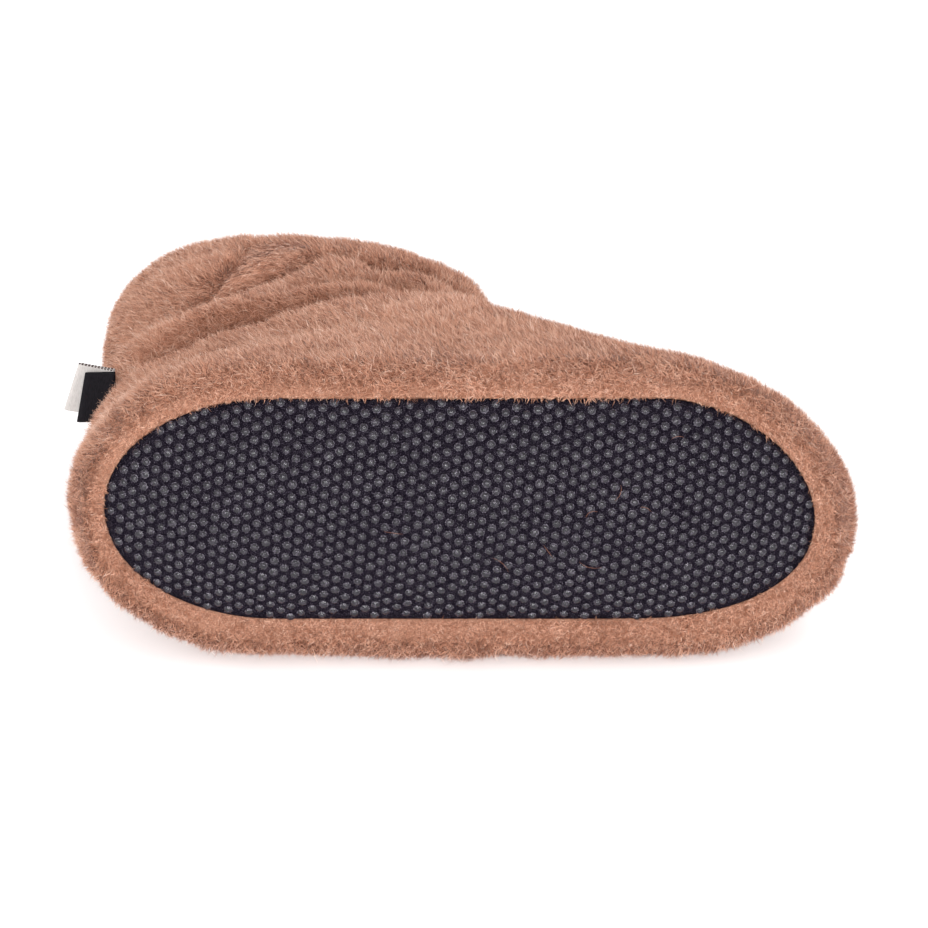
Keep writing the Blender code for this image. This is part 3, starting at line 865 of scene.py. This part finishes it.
def make_wool():
    """The skins of upper and shaft, closed round their walls, and the pile that covers them."""
    rng = np.random.default_rng(5)
    outside = wool_surface()
    normals = tube_normals(outside)
    skin = lift_off_floor(outside - SKIN_INSET * normals, FLOOR_CLEARANCE)
    inside = outside - (WOOL_THICKNESS - SKIN_INSET) * normals
    names = [row[0] for row in SECTIONS]
    seam = (names.index(SEAM_SECTION) + 1) * RINGS_PER_SECTION
    last = len(outside) - 1
    # The ground under the pile is darkened as painted shade.
    ground = painted_shade_ground_finish()
    pile = hair_finish()

    upper = np.concatenate([skin[:seam + 1], inside[:seam + 1][::-1]])
    closed_skin("upper_ground", upper, ground, "wool", "upper")

    collar = rounded_collar(skin, inside)
    shaft = np.concatenate([skin[seam:last - 1], collar, inside[seam:last - 1][::-1]])
    closed_skin("shaft_ground", shaft, ground, "wool", "shaft")

    on_floor = smooth_step(-0.35, -0.85, (normals @ TURN.T)[..., 2])
    weight = 1.0 - RESTING_THIN * on_floor
    part = slice(0, seam + 1)
    roots, ways, around = scatter_on(skin[part], normals[part], weight[part], UPPER_HAIRS, rng)
    pieces = ("upper_pile_outer_toe", "upper_pile_outer_heel",
              "upper_pile_inner_heel", "upper_pile_inner_toe")
    grow_pile(pieces, roots, ways, around, 1.0, rng, pile)
    part = slice(seam, last - 1)
    roots, ways, around = scatter_on(skin[part], normals[part], weight[part], SHAFT_HAIRS, rng)
    grow_pile(("shaft_pile_outer", "shaft_pile_inner"), roots, ways, around, 1.0, rng, pile)

    inner = inside[seam:last - 1][::-1]
    depth = np.cumsum(np.linalg.norm(np.diff(inner.mean(axis=1), axis=0), axis=-1))
    rows = int(np.searchsorted(depth, LINING_DEPTH)) + 2
    rim = np.concatenate([skin[last - 3:last - 1], collar, inner[:rows]])
    roots, ways, around = scatter_on(rim, tube_normals(rim), np.ones(rim.shape[:2]), RIM_HAIRS, rng)
    grow_pile(("collar_pile",), roots, ways, around, COLLAR_LENGTH, rng, pile)


def make_sole():
    """The crowned fabric sole, closed all round, and the insole over it with its short pile."""
    rng = np.random.default_rng(6)
    shares = np.linspace(1.0, 0.0, SOLE_RING_COUNT)
    bottom = sole_rings(0.0, 0.0, shares)
    top = sole_rings(0.0, SOLE_THICKNESS, shares[::-1])
    closed_skin("sole_fabric", np.concatenate([bottom, top]), sole_finish(), "sole_fabric", "sole")

    shares = np.linspace(1.0, 0.0, INSOLE_RING_COUNT)
    low = sole_rings(GAP, SOLE_THICKNESS + GAP, shares)
    high = sole_rings(GAP, SOLE_THICKNESS + GAP + INSOLE_THICKNESS, shares[::-1])
    closed_skin("insole_ground", np.concatenate([low, high]), painted_shade_ground_finish(), "lining", "insole")

    tops = sole_normal(high[..., 0], high[..., 1])
    roots, ways, around = scatter_on(high, tops, np.ones(high.shape[:2]), INSOLE_HAIRS, rng)
    grow_pile(("insole_pile",), roots, ways, around, INSOLE_LENGTH, rng, hair_finish(), "lining")


def inside_sole(x, y, most):
    """Where a place lies within this share of the way from the sole's middle line to its edge."""
    return (share_to_edge(x, y) < most) & (x > 0) & (x < SOLE_LENGTH)


def make_studs():
    """Domes on a turned lattice of equal triangles, each a profile carried round its own axis."""
    rng = np.random.default_rng(8)
    reach = np.arange(-STUD_ROWS, STUD_ROWS + 1)
    a, b = (grid.ravel() for grid in np.meshgrid(reach, reach))
    along_row = STUD_PITCH * (a + 0.5 * b)
    over_rows = STUD_PITCH * math.sqrt(0.75) * b
    turn = STUD_TURN + math.pi / 2
    x = SOLE_LENGTH / 2 + along_row * math.cos(turn) - over_rows * math.sin(turn)
    y = -(along_row * math.sin(turn) + over_rows * math.cos(turn)) / FOOT_STRETCH
    inside = inside_sole(x, y, STUD_LIMIT)
    x = x[inside] + rng.normal(0.0, STUD_SHIFT, inside.sum())
    y = y[inside] + rng.normal(0.0, STUD_SHIFT, inside.sum())
    out = -sole_normal(x, y)
    side = unit(np.cross(out, np.array([0.0, 1.0, 0.0])))
    other = np.cross(out, side)
    base = np.stack([x, y, sole_height(x, y)], axis=-1)
    radius = STUD_RADIUS * rng.normal(1.0, STUD_RADIUS_SPREAD, len(x))
    height = STUD_HEIGHT * rng.normal(1.0, STUD_HEIGHT_SPREAD, len(x))
    round_stud = 2 * math.pi * np.arange(STUD_SIDES) / STUD_SIDES
    wide, tall, tone = np.array(STUD_PROFILE).T
    ring = (np.cos(round_stud)[:, None] * side[:, None, None]
            + np.sin(round_stud)[:, None] * other[:, None, None])
    rings = (base[:, None, None] + ring * (radius[:, None] * wide)[..., None, None]
             + (height[:, None] * tall)[..., None, None] * out[:, None, None])
    crown = base + height[:, None] * out
    each = len(wide) * STUD_SIDES + 1
    points = np.concatenate([rings.reshape(len(x), -1, 3), crown[:, None]], axis=1)
    start = each * np.arange(len(x))[:, None, None]
    k = np.arange(STUD_SIDES)
    following = (k + 1) % STUD_SIDES
    levels = STUD_SIDES * np.arange(len(wide) - 1)[:, None, None]
    band = np.stack([k, following, following + STUD_SIDES, k + STUD_SIDES], axis=-1)
    quads = (levels + band).reshape(-1, 4)
    rim = (len(wide) - 1) * STUD_SIDES
    top = np.stack([k + rim, following + rim, np.full(STUD_SIDES, each - 1)], axis=-1)
    faces = ((start + quads).reshape(-1, 4), (start + top).reshape(-1, 3))
    tones = np.tile(np.append(np.repeat(tone, STUD_SIDES), 0.0), len(x))
    dress(new_mesh("sole_studs", points, faces, (4, 3), stud_finish(), tones), "sole_fabric")


def make_sole_fuzz():
    """Short loose fibres that stand out of the sole's fabric in all directions, on and between the studs."""
    rng = np.random.default_rng(9)
    x = rng.uniform(0.0, SOLE_LENGTH, 2 * FUZZ_COUNT)
    y = rng.uniform(-half_sole, half_sole + TOE_SWING, 2 * FUZZ_COUNT)
    inside = inside_sole(x, y, FUZZ_LIMIT)
    x, y = x[inside][:FUZZ_COUNT], y[inside][:FUZZ_COUNT]
    count = len(x)
    normals = -sole_normal(x, y)
    roots = np.stack([x, y, sole_height(x, y)], axis=-1)
    nap = unit(np.cross(normals, np.array([0.0, 1.0, 0.0])))
    length = FUZZ_LENGTH * rng.uniform(0.6, 1.5, count)
    lean = np.clip(rng.normal(1.0, 0.3, count), 0.2, 1.4)
    stray = rng.uniform(-math.pi, math.pi, count)
    width = FUZZ_WIDTH * rng.uniform(0.7, 1.3, count)
    bend_share = np.full(count, FINE_BEND)
    corners, shades = hair_strips(roots, normals, nap, length, lean, stray, width, bend_share, 0 * width, rng)
    tones = np.clip(rng.normal(0.5, 0.28, count), 0.0, 1.0)[:, None] + np.zeros(4)
    made = hair_mesh("sole_fuzz", corners, np.zeros(count, dtype=bool), tones, shades, fuzz_finish())
    dress(made, "sole_fabric")


def make_stray_hairs():
    """A few hairs of the pile that lie across the studs: each runs on with a heading that turns evenly."""
    rng = np.random.default_rng(14)
    x = rng.uniform(0.10, 0.90, STRAY_HAIRS) * SOLE_LENGTH
    y = rng.uniform(-0.75, 0.75, STRAY_HAIRS) * half_sole
    length = STRAY_LENGTH * rng.uniform(0.5, 1.4, STRAY_HAIRS)
    steps = np.linspace(0.0, 1.0, STRAY_STEPS)
    first_heading = rng.uniform(0.0, 2 * math.pi, STRAY_HAIRS)[:, None]
    heading = first_heading + rng.normal(0.0, 1.2, STRAY_HAIRS)[:, None] * steps
    stride = (length / (STRAY_STEPS - 1))[:, None]
    x = x[:, None] + np.cumsum(stride * np.cos(heading), axis=1)
    y = y[:, None] + np.cumsum(stride * np.sin(heading), axis=1)
    out = -sole_normal(x, y)
    path = np.stack([x, y, sole_height(x, y)], axis=-1) + 1.12 * STUD_HEIGHT * out
    ahead = np.stack([np.cos(heading), np.sin(heading), 0 * heading], axis=-1)
    half = (STRAY_WIDTH / 2) * np.sin(math.pi * (0.08 + 0.84 * steps))[None, :, None]
    side = half * unit(np.cross(out, ahead))
    points = np.stack([path + side, path - side], axis=2)
    quads = open_grid_faces(np.arange(points[..., 0].size).reshape(points.shape[:-1]))
    tones = np.full(points.shape[:-1], STRAY_TONE)
    dress(new_mesh("stray_hairs", points, (quads,), (4,), hair_finish(), tones), "wool")


def make_ribbon(name, node, aside, skew, slope, curl, start, kind):
    """A ribbon folded into a loop: it runs out along one layer, round the fold and back along the other.

    It is carried across the heel, reaches further on its inner side, slopes by the share that its edges drop
    towards the seam, and its far end curls a little to the sole.
    """
    low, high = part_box(node)
    start_x = high.x - SHIFT[0] - start
    tip_x = low.x - SHIFT[0] - LABEL_OVERHANG
    share = np.linspace(-0.5, 0.5, LABEL_ROWS)[:, None]
    fold = (LABEL_LOOP - LABEL_THICKNESS) / 2
    reach = (start_x - tip_x) - skew * LABEL_WIDTH * (0.5 - share)
    t = np.linspace(0.0, 1.0, LABEL_STEPS)
    turn = np.linspace(-math.pi / 2, math.pi / 2, LABEL_FOLD_STEPS)[1:-1]
    out = np.concatenate([t, 1.0 + 0 * turn, t[::-1]])
    bulge = np.concatenate([0 * t, np.cos(turn), 0 * t])
    rise = np.concatenate([-1.0 + 0 * t, np.sin(turn), 1.0 + 0 * t])
    x = start_x - (reach - fold) * out - fold * bulge
    thin = 0.55 + 0.45 * (1 - out) ** 2
    y = LABEL_WIDTH * share - aside * LABEL_ASIDE + slope * (x - tip_x)
    middle = (np.array(low) + np.array(high)) / 2 - SHIFT
    seam_height = (middle @ TURN)[2]
    z = seam_height + fold * rise * thin - curl * out**2 * (0.6 + share)
    points = np.stack([x, y, z], axis=-1)
    quads = open_grid_faces(np.arange(x.size).reshape(x.shape))
    edge = smooth_step(*LABEL_DARK_EDGE, (share + 0.5) * LABEL_WIDTH) + 0 * x
    finish = ribbon_finish(kind + "_weave", *RIBBON_COLOURS[kind])
    made = new_mesh(name, points, (quads,), (4,), finish, edge)
    solid = made.modifiers.new("Thickness", "SOLIDIFY")
    solid.thickness = LABEL_THICKNESS
    solid.offset = 0.0
    dress(made, kind, node)


def make_stage():
    """A white table that glows a little, soft light all round, two low lamps in front and one behind."""
    mesh = bpy.data.meshes.new("floor")
    reach = TABLE_REACH
    mesh.from_pydata([(-reach, -reach, 0), (reach, -reach, 0), (reach, reach, 0), (-reach, reach, 0)], [],
                     [(0, 1, 2, 3)])
    floor = bpy.data.objects.new("floor", mesh)
    bpy.context.scene.collection.objects.link(floor)
    finish = Finish("floor_paper", roughness=0.9, specular=0.1)
    finish.shader.inputs["Base Color"].default_value = TABLE_COLOUR
    finish.shader.inputs["Emission Color"].default_value = TABLE_GLOW_COLOUR
    finish.shader.inputs["Emission Strength"].default_value = TABLE_GLOW
    mesh.materials.append(finish.material)

    world = bpy.data.worlds.new("studio")
    world.use_nodes = True
    world.node_tree.nodes["Background"].inputs["Color"].default_value = (1.0, 1.0, 1.0, 1)
    world.node_tree.nodes["Background"].inputs["Strength"].default_value = ROUND_LIGHT
    bpy.context.scene.world = world

    for name, place, size, power in LAMPS:
        lamp = bpy.data.lights.new(name, "AREA")
        lamp.size = size
        lamp.energy = power
        made = bpy.data.objects.new(name, lamp)
        made.location = place
        made.rotation_mode = "QUATERNION"
        made.rotation_quaternion = (Vector(LAMP_AIM) - Vector(place)).to_track_quat("-Z", "Y")
        bpy.context.scene.collection.objects.link(made)


def make_camera():
    """The photograph's camera: it looks along +Y and down by its elevation, at a point above the sole."""
    low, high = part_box("sole")
    forward = Vector((0, math.cos(CAMERA_ELEVATION), -math.sin(CAMERA_ELEVATION)))
    up = Vector((0, math.sin(CAMERA_ELEVATION), math.cos(CAMERA_ELEVATION)))
    middle = Vector(((low.x + high.x) / 2, low.y, (low.z + high.z) / 2))
    aim = middle + Vector((AIM_RIGHT, 0, 0)) + up * AIM_UP
    lens = bpy.data.cameras.new("camera")
    lens.sensor_width = SENSOR_WIDTH
    lens.lens = SENSOR_WIDTH * FOCAL_PIXELS / PHOTO_PIXELS
    lens.clip_start, lens.clip_end = CLIP_RANGE
    camera = bpy.data.objects.new("camera", lens)
    camera.location = aim - forward * CAMERA_DISTANCE
    camera.rotation_mode = "QUATERNION"
    camera.rotation_quaternion = forward.to_track_quat("-Z", "Y")
    bpy.context.scene.collection.objects.link(camera)
    bpy.context.scene.camera = camera


make_camera()
make_stage()
make_wool()
make_sole()
make_studs()
make_sole_fuzz()
make_stray_hairs()
for label in LABELS:
    make_ribbon(*label)
bpy.context.scene.view_settings.view_transform = "Standard"
